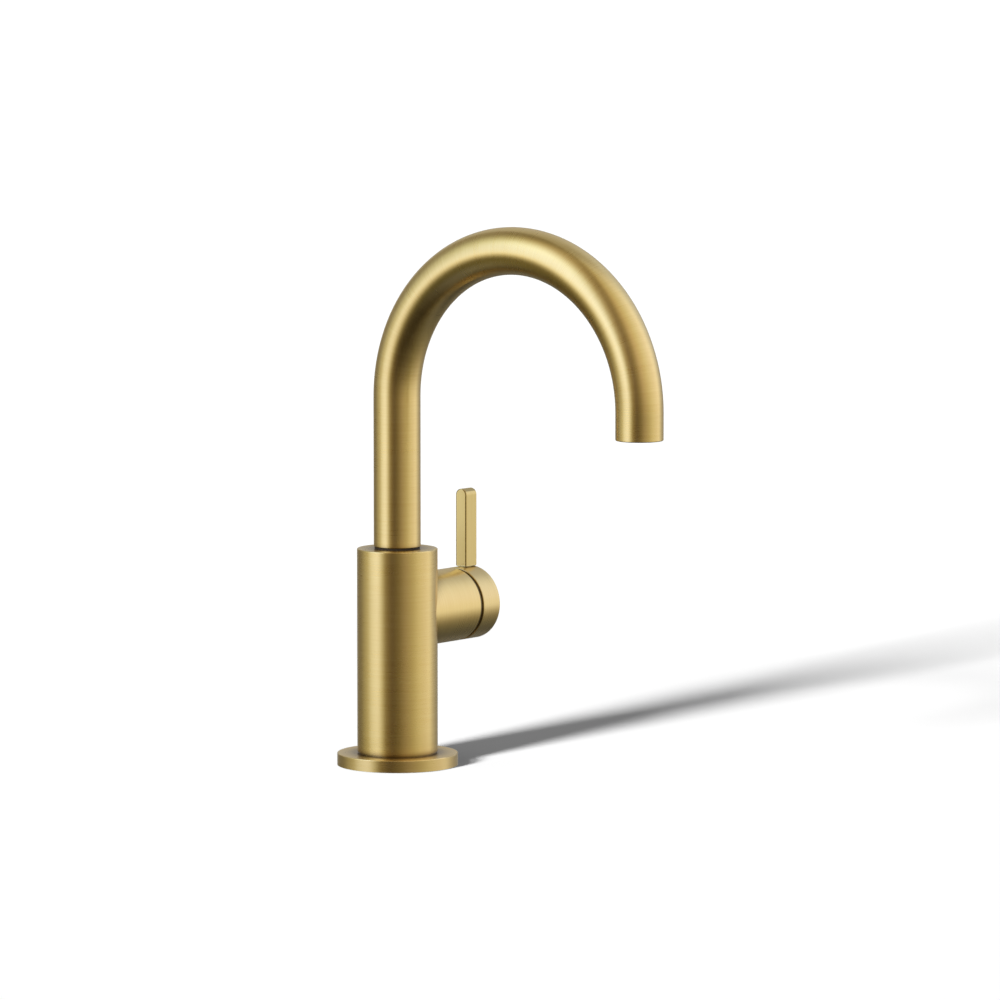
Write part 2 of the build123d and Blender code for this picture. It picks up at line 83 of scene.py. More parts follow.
# What the metal mirrors round the studio: degrees from the camera's side, and the light's colour there.
# These levels and those of RISES follow a light map that was solved from the photograph's metal.
STUDIO = [
    (-180, (0.42, 0.42, 0.40)),
    (-158, (0.40, 0.40, 0.37)),
    (-148, (0.24, 0.22, 0.17)),
    (-124, (0.285, 0.262, 0.188)),
    (-91, (0.765, 0.725, 0.485)),
    (-80, (1.17, 1.20, 1.11)),
    (-57, (1.46, 1.49, 1.50)),
    (-44, (0.89, 0.86, 0.605)),
    (-34, (0.35, 0.275, 0.118)),
    (-14, (0.151, 0.115, 0.072)),
    (5, (0.26, 0.216, 0.107)),
    (24, (0.50, 0.425, 0.275)),
    (45, (0.66, 0.61, 0.39)),
    (66, (0.88, 0.86, 0.66)),
    (91, (1.00, 0.98, 0.90)),
    (104, (1.11, 1.12, 1.06)),
    (124, (0.60, 0.59, 0.56)),
    (148, (0.33, 0.32, 0.29)),
    (158, (0.40, 0.40, 0.37)),
    (180, (0.42, 0.42, 0.40)),
]
STUDIO_GAIN = 1.5
# How that light changes with height in the five parts of the studio: sine of the height and the share there,
# and then degrees from the camera's side and how far the part holds.
RISES = {
    "back": (
        [(-1.0, 0.06), (-0.8, 0.19), (-0.6, 0.42), (-0.42, 0.40), (-0.3, 0.46), (-0.1, 0.90), (0.1, 1.07),
         (0.5, 1.3), (0.79, 1.2), (0.92, (0.95, 0.92, 0.75)), (1.0, (0.8, 0.75, 0.6))],
        [(-180, 1.0), (-145, 1.0), (-110, 0.0), (140, 0.0), (165, 1.0), (180, 1.0)],
    ),
    "left": (
        [(-1.0, 0.13), (-0.8, 0.25), (-0.6, (0.23, 0.215, 0.125)), (-0.42, (0.20, 0.175, 0.105)),
         (-0.26, (0.44, 0.41, 0.31)), (-0.1, 0.96), (0.0, (1.0, 1.08, 1.28)), (0.26, (1.0, 1.14, 1.5)),
         (0.42, (1.10, 1.28, 1.68)), (0.6, (1.12, 1.32, 1.66)), (0.79, (0.88, 0.95, 1.0)),
         (0.92, (0.56, 0.50, 0.40)), (1.0, (0.40, 0.36, 0.28))],
        [(-145, 0.0), (-110, 1.0), (-88, 1.0), (-70, 0.0)],
    ),
    "near_left": (
        [(-1.0, 0.13), (-0.8, 0.11), (-0.6, (0.07, 0.063, 0.027)), (-0.42, (0.085, 0.072, 0.03)),
         (-0.26, (0.45, 0.42, 0.30)), (-0.1, 1.01), (0.0, (1.0, 1.1, 1.38)), (0.26, (0.99, 1.13, 1.54)),
         (0.42, (1.03, 1.19, 1.62)), (0.6, (1.09, 1.27, 1.64)), (0.79, (0.83, 0.88, 0.95)),
         (0.92, (0.48, 0.42, 0.33)), (1.0, (0.36, 0.32, 0.24))],
        [(-88, 0.0), (-70, 1.0), (-48, 1.0), (-30, 0.0)],
    ),
    "front": (
        [(-1.0, 0.15), (-0.8, 0.14), (-0.6, 0.085), (-0.42, 0.11), (-0.26, 0.31), (-0.1, 0.88), (0.0, 1.12),
         (0.15, (1.22, 1.22, 1.40)), (0.26, (1.28, 1.28, 1.50)), (0.6, (1.32, 1.32, 1.45)), (0.87, 1.28),
         (0.97, 1.12), (1.0, 1.0)],
        [(-48, 0.0), (-30, 1.0), (24, 1.0), (66, 0.0)],
    ),
    "right": (
        [(-1.0, 0.15), (-0.8, 0.14), (-0.6, (0.17, 0.16, 0.11)), (-0.42, (0.32, 0.29, 0.22)),
         (-0.26, (0.64, 0.61, 0.52)), (-0.1, 1.02), (0.0, 1.02), (0.26, (1.0, 1.0, 1.13)),
         (0.5, (1.0, 1.02, 1.15)), (0.7, (0.97, 1.0, 1.08)), (0.87, 0.87), (0.97, 0.68), (1.0, 0.60)],
        [(24, 0.0), (66, 1.0), (140, 1.0), (165, 0.0)],
    ),
}
RISE_GAIN = 1.7
# One more soft box, high at the right with a faint foot near the floor: how far it holds round the studio and
# by the sine of the height, and its colour.
HIGH_BOX_TURNS = [(100, 0.0), (122, 1.0), (146, 1.0), (168, 0.0)]
HIGH_BOX_HEIGHTS = [
    (-0.9, 0.0), (-0.6, 0.13), (-0.3, 0.02), (-0.02, 0.0), (0.15, 1.0), (0.65, 1.0), (0.92, 0.0),
]
HIGH_BOX_COLOUR = (0.26, 0.31, 0.36)


def scaled(colour, gain=1.0):
    """A colour, or one grey level as a colour, times gain."""
    return tuple(level * gain for level in (colour if isinstance(colour, tuple) else (colour,) * 3))


class Graph:
    """Short calls for building a node tree."""

    # Where a Mix node keeps its two inputs and its output, for each kind of data.
    MIX_PLACES = {"RGBA": (6, 7, 2), "VECTOR": (4, 5, 1)}

    def __init__(self, tree):
        self.tree = tree
        tree.nodes.clear()

    def node(self, kind, inputs=(), **settings):
        made = self.tree.nodes.new("ShaderNode" + kind)
        for name, value in settings.items():
            setattr(made, name, value)
        for name, value in dict(inputs).items():
            self.put(made.inputs[name], value)
        return made

    def put(self, socket, value):
        if isinstance(value, bpy.types.NodeSocket):
            self.tree.links.new(value, socket)
        elif socket.type == "RGBA" and len(value) == 3:
            socket.default_value = (*value, 1)
        else:
            socket.default_value = value

    def put_all(self, sockets, values):
        for socket, value in zip(sockets, values):
            self.put(socket, value)

    def math(self, operation, *values):
        made = self.node("Math", operation=operation)
        self.put_all(made.inputs, values)
        return made.outputs[0]

    def plus(self, first, second):
        return self.math("ADD", first, second)

    def minus(self, first, second):
        return self.math("SUBTRACT", first, second)

    def times(self, first, second):
        return self.math("MULTIPLY", first, second)

    def vector(self, operation, *values):
        made = self.node("VectorMath", operation=operation)
        sockets = [made.inputs[0], made.inputs["Scale"]] if operation == "SCALE" else made.inputs
        self.put_all(sockets, values)
        return made.outputs["Value" if operation in ("DOT_PRODUCT", "LENGTH") else "Vector"]

    def split(self, vector):
        return self.node("SeparateXYZ", [("Vector", vector)]).outputs

    def join(self, x, y, z):
        return self.node("CombineXYZ", [("X", x), ("Y", y), ("Z", z)]).outputs[0]

    def to_world(self, vector, kind):
        """A vector or normal of the object, as one of the world."""
        made = self.node(
            "VectorTransform", [("Vector", vector)],
            vector_type=kind, convert_from="OBJECT", convert_to="WORLD",
        )
        return made.outputs[0]

    def ramp(self, factor, stops):
        """A colour that changes with factor. All places are set first, because that sorts the stops."""
        made = self.node("ValToRGB", [("Fac", factor)])
        elements = made.color_ramp.elements
        while len(elements) < len(stops):
            elements.new(0.5)
        for element, (place, _) in zip(elements, stops):
            element.position = place
        for element, (_, colour) in zip(elements, stops):
            element.color = (*scaled(colour), 1)
        return made.outputs["Color"]

    def spread(self, factor, low, high, new_low=0.0, new_high=1.0):
        made = self.node("MapRange", [
            ("Value", factor), ("From Min", low), ("From Max", high),
            ("To Min", new_low), ("To Max", new_high),
        ])
        return made.outputs[0]

    def mix(self, factor, low, high, way="MIX", kind="RGBA"):
        made = self.node("Mix", data_type=kind, blend_type=way)
        first, second, result = self.MIX_PLACES[kind]
        self.put_all([made.inputs[0], made.inputs[first], made.inputs[second]], (factor, low, high))
        return made.outputs[result]

    def blend(self, factor, low, high):
        """Between two vectors."""
        return self.mix(factor, low, high, kind="VECTOR")

    def noise(self, place, scale, detail=2.0, rough=0.5):
        made = self.node("TexNoise", [
            ("Vector", place), ("Scale", scale), ("Detail", detail), ("Roughness", rough),
        ])
        return made.outputs["Fac"]

    def background(self, colour, strength):
        return self.node("Background", [("Color", colour), ("Strength", strength)]).outputs[0]

    def choose(self, factor, first, second):
        """The first shader where factor is 0, and the second where it is 1."""
        made = self.node("MixShader")
        self.put_all(made.inputs, (factor, first, second))
        return made.outputs[0]

    def end(self, kind, shader):
        self.put(self.node(kind).inputs["Surface"], shader)


def new_material(name):
    made = bpy.data.materials.new(name)
    made.use_nodes = True
    return made, Graph(made.node_tree)


def surface(graph, inputs):
    """The shader that every material of the part ends in."""
    graph.end("OutputMaterial", graph.node("BsdfPrincipled", inputs).outputs[0])


# A surface this far outside the body's wall belongs to the valve boss.
BOSS_CLEAR = 0.1 * MM
# The lever's brush direction, tilted a little so that it is never square on a face, and its lines' slant.
LEVER_BRUSH = (0.05, 0.02, 1.0)
LEVER_SLANT = 0.8


def upright_run(graph, place):
    """Turned about the faucet's own axis: the round direction, and how far across the brush lines."""
    x, y, z = graph.split(place)
    out = graph.vector("LENGTH", graph.join(x, y, 0.0))
    around = graph.join(graph.times(y, -1.0), x, 0.0)
    return around, graph.plus(z, out)


def sideways_run(graph, place):
    """Turned about the handle's axis."""
    x, y, z = graph.split(place)
    up = graph.minus(z, VALVE_HEIGHT)
    out = graph.vector("LENGTH", graph.join(0.0, y, up))
    around = graph.join(0.0, graph.times(up, -1.0), y)
    return around, graph.plus(x, out)


def body_run(graph, place):
    """The upright body, and the valve boss where the surface stands outside it."""
    x, y, _ = graph.split(place)
    out = graph.vector("LENGTH", graph.join(x, y, 0.0))
    on_boss = graph.math("GREATER_THAN", out, BODY_RADIUS + BOSS_CLEAR)
    upright, across_upright = upright_run(graph, place)
    sideways, across_sideways = sideways_run(graph, place)
    around = graph.blend(on_boss, upright, sideways)
    step = graph.minus(across_sideways, across_upright)
    return around, graph.plus(across_upright, graph.times(step, on_boss))


def spout_run(graph, place):
    """Brushed round the bent tube: the arch turns about x at its own centre, and its legs stand upright."""
    _, y, z = graph.split(place)
    side = graph.plus(y, ARCH_RADIUS)
    above = graph.math("MAXIMUM", graph.minus(z, ARCH_HEIGHT), 0.0)
    below = graph.math("MINIMUM", graph.minus(z, ARCH_HEIGHT), 0.0)
    outward = graph.vector("NORMALIZE", graph.join(0.0, side, above))
    along = graph.vector("CROSS_PRODUCT", (1.0, 0.0, 0.0), outward)
    foot = graph.join(0.0, -ARCH_RADIUS, graph.math("MINIMUM", z, ARCH_HEIGHT))
    middle = graph.vector("ADD", foot, graph.vector("SCALE", outward, ARCH_RADIUS))
    around = graph.vector("CROSS_PRODUCT", along, graph.vector("SUBTRACT", place, middle))
    turned = graph.times(graph.math("ARCTAN2", above, side), ARCH_RADIUS)
    legs = graph.times(below, graph.math("SIGN", side))
    return around, graph.plus(turned, legs)


def lever_run(graph, place):
    """Brushed lengthwise."""
    x, y, _ = graph.split(place)
    return graph.join(*LEVER_BRUSH), graph.plus(x, graph.times(y, LEVER_SLANT))


# Where an edge's rounded normal leaves the face's own: the edge mark begins here and is full there. On
# moulded pieces it is wear; on the brass it is wear with a painted highlight.
EDGE_BEGINS = 0.995
EDGE_FULL = 0.90


def near_edges(graph, radius):
    """1 along sharp edges, fading to 0 within radius of them."""
    bevel = graph.node("Bevel", [("Radius", radius)], samples=4)
    facing = graph.node("NewGeometry").outputs["Normal"]
    same = graph.vector("DOT_PRODUCT", bevel.outputs[0], facing)
    return graph.spread(same, EDGE_BEGINS, EDGE_FULL)


# Brush lines in brass: their number per metre, fine and broad, the broad ones' share, and their drift along.
FINE_LINES = 2600.0
BROAD_LINES = 900.0
BROAD_SHARE = 0.55
LINE_DRIFT = 55.0
LINE_RELIEF = 0.02 * MM
LINE_ROUGHNESS = 0.025
# Clouds in brass, and the colours of its cloudy places, of its edges, which are worn and carry a painted
# highlight, and of the painted shade in its corners.
CLOUD_SCALE = 28.0
CLOUD_SHARE = 0.22
CLOUDY = (0.86, 0.66, 0.33)
RUBBED_AND_HIGHLIT = (0.93, 0.78, 0.46)
PAINTED_SHADE = (0.15, 0.08, 0.022)
WEAR_AND_HIGHLIGHT_REACH = 0.45 * MM
WEAR_POLISH = 0.06
# How far the painted corner shade reaches from a corner on a wall and how much farther on a top, and how shut
# in it begins and is fullest.
PAINTED_SHADE_REACH = 3.5 * MM
PAINTED_SHADE_REACH_TOP = 6.0 * MM
PAINTED_SHADE_BEGINS = 0.96
PAINTED_SHADE_FULL = 0.58
# How far a lever edge's normal leans to the broad face where the facet begins and ends, its finish, and how
# much painted shade darkens it.
FACET_FROM = 0.10
FACET_TO = 0.80
FACET_POLISH = 0.17
FACET_PAINTED_SHADE = 0.5


def brush_lines(graph, place, across):
    """Fine and broad lines, which drift a little along their run."""
    x, y, z = graph.split(graph.vector("SCALE", place, LINE_DRIFT))
    drift = graph.plus(graph.plus(x, y), graph.times(z, 0.3))
    fine = graph.noise(graph.join(graph.times(across, FINE_LINES), drift, x), 1.0, 3.0, 0.6)
    broad = graph.noise(graph.join(graph.times(across, BROAD_LINES), drift, y), 1.0, 2.0, 0.6)
    return graph.plus(graph.times(fine, 1 - BROAD_SHARE), graph.times(broad, BROAD_SHARE))


def painted_corner_shade(graph, upward, walls, tops):
    """How much painted shade a place takes: most in corners, as far as walls or tops say."""
    reach = graph.plus(graph.times(upward, PAINTED_SHADE_REACH_TOP), PAINTED_SHADE_REACH)
    shut = graph.node("AmbientOcclusion", [("Distance", reach)], samples=8).outputs["AO"]
    most = graph.spread(upward, 0.0, 0.5, walls, tops)
    return graph.times(graph.spread(shut, PAINTED_SHADE_BEGINS, PAINTED_SHADE_FULL), most)


def facet(graph, normal):
    """The lever's narrow rounded edges take the light as flat facets, and its foot as its top does."""
    x, y, z = graph.split(normal)
    up = graph.math("ABSOLUTE", z)
    outline = graph.vector("NORMALIZE", graph.join(x, 0.0, up))
    broad = graph.join(0.0, graph.math("SIGN", y), 0.0)
    tilted = graph.vector("NORMALIZE", graph.vector("ADD", outline, broad))
    lean = graph.math("ABSOLUTE", y)
    on_edge = graph.times(
        graph.math("GREATER_THAN", lean, FACET_FROM), graph.math("LESS_THAN", lean, FACET_TO),
    )
    bent = graph.blend(on_edge, graph.join(x, y, up), tilted)
    return graph.to_world(bent, "NORMAL"), on_edge


# Where the body's painted shade begins, at the plate's top, and ends, at the body's.
SHADE_LOW = 5.7 * MM
SHADE_HIGH = 103.0 * MM


def foot_shade(graph, place, _):
    """Painted shade: the body is a little darker towards its foot, most of all just over the plate, where it
    mirrors the plate.
    """
    height = graph.spread(graph.split(place)[2], SHADE_LOW, SHADE_HIGH)
    return graph.ramp(height, [
        (0.0, (0.80, 0.78, 0.72)), (0.045, (0.88, 0.87, 0.81)), (0.11, (0.94, 0.935, 0.89)),
        (0.36, (0.98, 0.98, 0.955)), (0.9, 1.0),
    ])


def plate_shade(graph, _, upward):
    """Painted shade: the plate's side is darker than its top."""
    return graph.ramp(upward, [(0.0, (0.85, 0.86, 0.86)), (0.5, 1.0)])


def brass(name, run, low=(0.793, 0.594, 0.268), high=(0.851, 0.659, 0.315), roughness=0.285, stretch=0.60,
          bump=0.10, wear_and_highlight=0.7, shade_on_tops=0.9, walls=0.6, shade=None, faceted=False):
    """Satin brass with fine brush lines along run's round direction and highlights stretched across them."""
    made, graph = new_material(name)
    inputs = graph.node("TexCoord").outputs
    place, normal = inputs["Object"], inputs["Normal"]
    around, across = run(graph, place)
    facing = graph.vector("CROSS_PRODUCT", graph.vector("NORMALIZE", around), normal)
    lines = brush_lines(graph, place, across)
    cloud = graph.noise(place, CLOUD_SCALE, 3.0, 0.55)
    edge = near_edges(graph, WEAR_AND_HIGHLIGHT_REACH)
    upward = graph.math("MAXIMUM", graph.split(normal)[2], 0.0)

    colour = graph.mix(graph.spread(lines, 0.36, 0.64), low, high)
    colour = graph.mix(graph.spread(cloud, 0.35, 0.7, 0.0, CLOUD_SHARE), colour, CLOUDY)
    # Lighter edges: partly wear, partly a painted highlight.
    colour = graph.mix(graph.times(edge, wear_and_highlight), colour, RUBBED_AND_HIGHLIT)
    # Painted shade from shade: darker towards the body's foot, or on the plate's side.
    if shade:
        colour = graph.mix(1.0, colour, shade(graph, place, upward), "MULTIPLY")
    # Painted shade in corners and near other parts.
    colour = graph.mix(painted_corner_shade(graph, upward, walls, shade_on_tops), colour, PAINTED_SHADE)

    finish = graph.plus(graph.spread(lines, 0.3, 0.7, roughness - LINE_ROUGHNESS, roughness + LINE_ROUGHNESS),
                        graph.spread(cloud, 0.3, 0.7, -0.02, 0.03))
    finish = graph.minus(finish, graph.times(edge, WEAR_POLISH))
    relief = graph.node("Bump", [("Strength", bump), ("Distance", LINE_RELIEF), ("Height", lines)])
    if faceted:
        bent, on_edge = facet(graph, normal)
        graph.put(relief.inputs["Normal"], bent)
        finish = graph.minus(finish, graph.times(on_edge, FACET_POLISH))
        # Painted shade darkens the lever's edge facets.
        colour = graph.mix(graph.times(on_edge, FACET_PAINTED_SHADE), colour, PAINTED_SHADE)
    surface(graph, [
        ("Base Color", colour), ("Metallic", 1.0), ("Roughness", finish), ("Anisotropic", stretch),
        ("Tangent", graph.to_world(facing, "VECTOR")), ("Normal", relief.outputs[0]),
    ])
    return made


# Steel: its brush lines per metre, their drift along, its clouds, the lines' relief, and its colour in and
# between the lines.
STEEL_LINES = 3000.0
STEEL_DRIFT = 70.0
STEEL_CLOUDS = 60.0
STEEL_RELIEF = 0.12
STEEL_DARK = (0.52, 0.52, 0.53)
STEEL_LIGHT = (0.68, 0.675, 0.665)


def steel(name, run):
    """Stainless steel, turned or rolled, a little darker in its lines."""
    made, graph = new_material(name)
    place = graph.node("TexCoord").outputs["Object"]
    _, across = run(graph, place)
    x, y, _ = graph.split(graph.vector("SCALE", place, STEEL_DRIFT))
    lines = graph.noise(graph.join(graph.times(across, STEEL_LINES), x, y), 1.0, 3.0, 0.6)
    cloud = graph.noise(place, STEEL_CLOUDS, 3.0, 0.5)
    finish = graph.plus(graph.spread(lines, 0.3, 0.7, 0.26, 0.36), graph.spread(cloud, 0.3, 0.7, -0.03, 0.05))
    relief = graph.node("Bump", [("Strength", STEEL_RELIEF), ("Distance", LINE_RELIEF), ("Height", lines)])
    surface(graph, [
        ("Base Color", graph.mix(lines, STEEL_DARK, STEEL_LIGHT)), ("Metallic", 1.0), ("Roughness", finish),
        ("Normal", relief.outputs[0]),
    ])
    return made


# Moulded pieces: their clouds, the clouds' share beside the grain, how far wear and grain reach, and how
# much the roughness changes.
MOULD_CLOUDS = 90.0
MOULD_CLOUD_SHARE = 0.65
MOULD_WEAR_REACH = 0.25 * MM
MOULD_RELIEF = 0.03 * MM
MOULD_ROUGHNESS = 0.06
MOULD_WEAR = 0.5


def moulded(name, dark, light, roughness, grain=900.0, bump=0.2, metal=0.0):
    """Moulded rubber, plastic or fired ceramic: a fine grain, cloudy tone and rubbed edges."""
    made, graph = new_material(name)
    place = graph.node("TexCoord").outputs["Object"]
    grains = graph.noise(place, grain, 2.0, 0.6)
    cloud = graph.noise(place, MOULD_CLOUDS, 4.0, 0.55)
    tone = graph.plus(graph.times(grains, 1 - MOULD_CLOUD_SHARE), graph.times(cloud, MOULD_CLOUD_SHARE))
    colour = graph.mix(graph.spread(tone, 0.3, 0.7), dark, light)
    worn = tuple(min(1.0, value * 1.6 + 0.02) for value in light)
    colour = graph.mix(graph.times(near_edges(graph, MOULD_WEAR_REACH), MOULD_WEAR), colour, worn)
    finish = graph.spread(tone, 0.3, 0.7, roughness - MOULD_ROUGHNESS, roughness + MOULD_ROUGHNESS)
    relief = graph.node("Bump", [("Strength", bump), ("Distance", MOULD_RELIEF), ("Height", grains)])
    surface(graph, [
        ("Base Color", colour), ("Metallic", metal), ("Roughness", finish), ("Normal", relief.outputs[0]),
    ])
    return made


def dress(material, *names):
    for name in names:
        for slot in nodes[name].material_slots:
            slot.material = material


SHARP_ANGLE = radians(35)


def closed_grid(name, rows, looped=True):
    """A closed mesh from rings of points, each joined to the next, and then looped or capped at both ends."""
    count = len(rows[0])
    points = [point for row in rows for point in row]
    faces = [] if looped else [tuple(range(count))[::-1], tuple(range(len(points) - count, len(points)))]
    for here in range(len(rows) if looped else len(rows) - 1):
        there = (here + 1) % len(rows)
        low, high = here * count, there * count
        for step in range(count):
            after = (step + 1) % count
            faces.append((low + step, low + after, high + after, high + step))
    mesh = bpy.data.meshes.new(name)
    mesh.from_pydata(points, [], faces)
    mesh.update()
    for face in mesh.polygons:
        face.use_smooth = True
    mesh.set_sharp_from_angle(angle=SHARP_ANGLE)
    piece = bpy.data.objects.new(name, mesh)
    bpy.context.scene.collection.objects.link(piece)
    return piece


# A screw thread in millimetres: its outer radius, lower and upper end, pitch and depth.
Thread = namedtuple("Thread", "radius low high pitch depth")
ROWS_PER_TURN = 8
# The groove's wave is stretched and dropped a little, which leaves a flat crest and root.
FLANK = 1.25
CREST = 0.125


def thread_rows(thread):
    """Radius and height of the close rows up a thread, from its lower end."""
    length = thread.high - thread.low
    count = int(length / thread.pitch * ROWS_PER_TURN)
    return [(thread.radius, thread.low + length * step / count) for step in range(count + 1)]


def thread_depth(thread, height, turn):
    """How deep the thread's groove is at a height and turn, fading out over one pitch towards both ends."""
    wave = abs(((height - thread.low) / thread.pitch - turn / tau) % 1.0 * 2 - 1)
    share = min(1.0, max(0.0, min(height - thread.low, thread.high - height) / thread.pitch))
    return thread.depth * share * min(1.0, max(0.0, wave * FLANK - CREST))


def ring(height, steps, reach, axis=(0.0, 0.0)):
    """Points round an axis at a height, each as far out as reach gives for its turn, from millimetres."""
    turns = [tau * step / steps for step in range(steps)]
    return [
        ((axis[0] + reach(turn) * cos(turn)) * MM, (axis[1] + reach(turn) * sin(turn)) * MM, height * MM)
        for turn in turns
    ]


# Threaded shank, in millimetres: the plain cylinders of the source get their real threads.
SHANK_STEPS = 112
SHANK_LOW = -64.0
SHANK_HIGH = 26.0
SHANK_BORE = 7.0
SHANK_TIP = 9.48
SHANK_NECK = 9.28
INLET_THREAD = Thread(10.48, -63.0, -44.0, 1.814, 1.16)
CLAMP_THREAD = Thread(13.0, -42.0, 19.5, 1.5, 0.92)
# The plain end in the body, and the groove of its O-ring.
SHANK_SPIGOT = 10.9
GROOVE_RADIUS = 9.67
GROOVE_LOW = 21.65
GROOVE_HIGH = 23.85


def make_shank():
    outline = [(SHANK_TIP, SHANK_LOW)] + thread_rows(INLET_THREAD)
    outline += [(SHANK_NECK, INLET_THREAD.high), (SHANK_NECK, CLAMP_THREAD.low)] + thread_rows(CLAMP_THREAD)
    outline += [
        (SHANK_SPIGOT, CLAMP_THREAD.high), (SHANK_SPIGOT, GROOVE_LOW), (GROOVE_RADIUS, GROOVE_LOW),
        (GROOVE_RADIUS, GROOVE_HIGH), (SHANK_SPIGOT, GROOVE_HIGH), (SHANK_SPIGOT, SHANK_HIGH),
        (SHANK_BORE, SHANK_HIGH), (SHANK_BORE, SHANK_LOW),
    ]
    threads = {thread.radius: thread for thread in (INLET_THREAD, CLAMP_THREAD)}
    rows = []
    for radius, height in outline:
        thread = threads.get(radius)
        rows.append(ring(
            height, SHANK_STEPS,
            lambda turn: radius - thread_depth(thread, height, turn) if thread else radius,
        ))
    return closed_grid("shank_threaded", rows)


# Set screw in the hub's underside, in millimetres: its threaded wall, the cup at its inner end and the key's
# hexagon. The thread stops short of both ends.
SCREW_AXIS = (51.0, 0.0)
SCREW_LOW = 62.65
SCREW_HIGH = 68.65
SCREW_END = 0.45
SCREW_THREAD = Thread(1.98, SCREW_LOW + SCREW_END, SCREW_HIGH - SCREW_END, 0.7, 0.3)
SCREW_STEPS = 48
CUP_RADIUS = 1.05
CUP_BOTTOM = 0.25
CUP_DEPTH = 0.55
TOP_RIM = 1.45
LOW_RIM = 1.5
LOW_BEVEL = 1.62
BEVEL_HEIGHT = 0.06
KEY_HALF = 1.0
KEY_DEPTH = 2.2
DRILL_RADIUS = 0.3
DRILL_DEPTH = 0.35


def key_wall(turn):
    """How far out the key's hexagon is at a turn."""
    return KEY_HALF / cos((turn + radians(30)) % radians(60) - radians(30))


def make_set_screw():
    key_top = SCREW_LOW + KEY_DEPTH

    def round_wall(radius, height):
        return ring(height, SCREW_STEPS, lambda turn: radius, SCREW_AXIS)

    rows = [
        round_wall(CUP_BOTTOM, SCREW_HIGH - CUP_DEPTH), round_wall(CUP_RADIUS, SCREW_HIGH),
        round_wall(TOP_RIM, SCREW_HIGH),
    ]
    for radius, height in reversed(thread_rows(SCREW_THREAD)):
        rows.append(ring(
            height, SCREW_STEPS, lambda turn: radius - thread_depth(SCREW_THREAD, height, turn), SCREW_AXIS,
        ))
    rows += [
        round_wall(LOW_BEVEL, SCREW_LOW + BEVEL_HEIGHT), round_wall(LOW_RIM, SCREW_LOW),
        ring(SCREW_LOW, SCREW_STEPS, key_wall, SCREW_AXIS), ring(key_top, SCREW_STEPS, key_wall, SCREW_AXIS),
        round_wall(DRILL_RADIUS, key_top + DRILL_DEPTH),
    ]
    return closed_grid("set_screw_socketed", rows, looped=False)


def make_camera():
    camera = bpy.data.objects.new("camera", bpy.data.cameras.new("camera"))
    bpy.context.scene.collection.objects.link(camera)
    looking = -FRONT * cos(CAMERA_PITCH) - Vector((0, 0, sin(CAMERA_PITCH)))
    camera.location = AIM - looking * CAMERA_DISTANCE
    camera.rotation_mode = "QUATERNION"
    camera.rotation_quaternion = looking.to_track_quat("-Z", "Y")
    camera.data.lens = LENS
    camera.data.sensor_width = SENSOR_WIDTH
    camera.data.clip_start = CLIP_NEAR
    camera.data.clip_end = CLIP_FAR
    bpy.context.scene.camera = camera


def round_studio(graph, turn, stops):
    """A ramp round the studio, from stops in degrees from the camera's side."""
    return graph.ramp(turn, [(angle / 360 + 0.5, level) for angle, level in stops])


def up_studio(graph, height, stops):
    """A ramp up the studio, from stops in sines of the height."""
    return graph.ramp(height, [(place / 2 + 0.5, level) for place, level in stops])


def make_world():
    """White to the camera, the studio's light and dark parts to the metal, and a plain fill to the rest."""
    world = bpy.data.worlds.new("studio")
    bpy.context.scene.world = world
    world.use_nodes = True
    world.cycles.sampling_method = "NONE"
    graph = Graph(world.node_tree)
    looking = graph.node("TexCoord").outputs["Generated"]
    sideways = graph.vector("DOT_PRODUCT", looking, RIGHT)
    forward = graph.vector("DOT_PRODUCT", looking, FRONT)
    turn = graph.plus(graph.math("DIVIDE", graph.math("ARCTAN2", sideways, forward), tau), 0.5)
    height = graph.plus(graph.times(graph.split(looking)[2], 0.5), 0.5)
    dimmed = [(angle, scaled(colour, 1 / STUDIO_GAIN)) for angle, colour in STUDIO]
    round_light = round_studio(graph, turn, dimmed)
    rise = (0.0, 0.0, 0.0)
    for climb, part in RISES.values():
        share = up_studio(graph, height, [(place, scaled(level, 1 / RISE_GAIN)) for place, level in climb])
        held = round_studio(graph, turn, part)
        rise = graph.mix(1.0, rise, graph.mix(1.0, share, held, "MULTIPLY"), "ADD")
    seen = graph.mix(1.0, round_light, rise, "MULTIPLY")
    wide = round_studio(graph, turn, HIGH_BOX_TURNS)
    box = graph.mix(1.0, wide, up_studio(graph, height, HIGH_BOX_HEIGHTS), "MULTIPLY")
    box = graph.mix(1.0, box, scaled(HIGH_BOX_COLOUR, 1 / STUDIO_GAIN / RISE_GAIN), "MULTIPLY")
    seen = graph.mix(1.0, seen, box, "ADD")
    paths = graph.node("LightPath").outputs
    mirrored = graph.math("MAXIMUM", paths["Is Glossy Ray"], paths["Is Transmission Ray"])
    fill = graph.background((1.0, 1.0, 1.0), FILL_LEVEL)
    studio = graph.background(seen, STUDIO_GAIN * RISE_GAIN)
    white = graph.background((1.0, 1.0, 1.0), 1.0)
    lit = graph.choose(mirrored, fill, studio)
    graph.end("OutputWorld", graph.choose(paths["Is Camera Ray"], lit, white))


def make_lamps():
    for name, turn, height, size, level in KEYS:
        lamp = bpy.data.lights.new(name, "SUN")
        lamp.energy = level
        lamp.angle = radians(size)
        key = bpy.data.objects.new(name, lamp)
        bpy.context.scene.collection.objects.link(key)
        key.rotation_mode = "QUATERNION"
        key.rotation_quaternion = (-toward(turn, height)).to_track_quat("-Z", "Y")
        key.visible_glossy = False


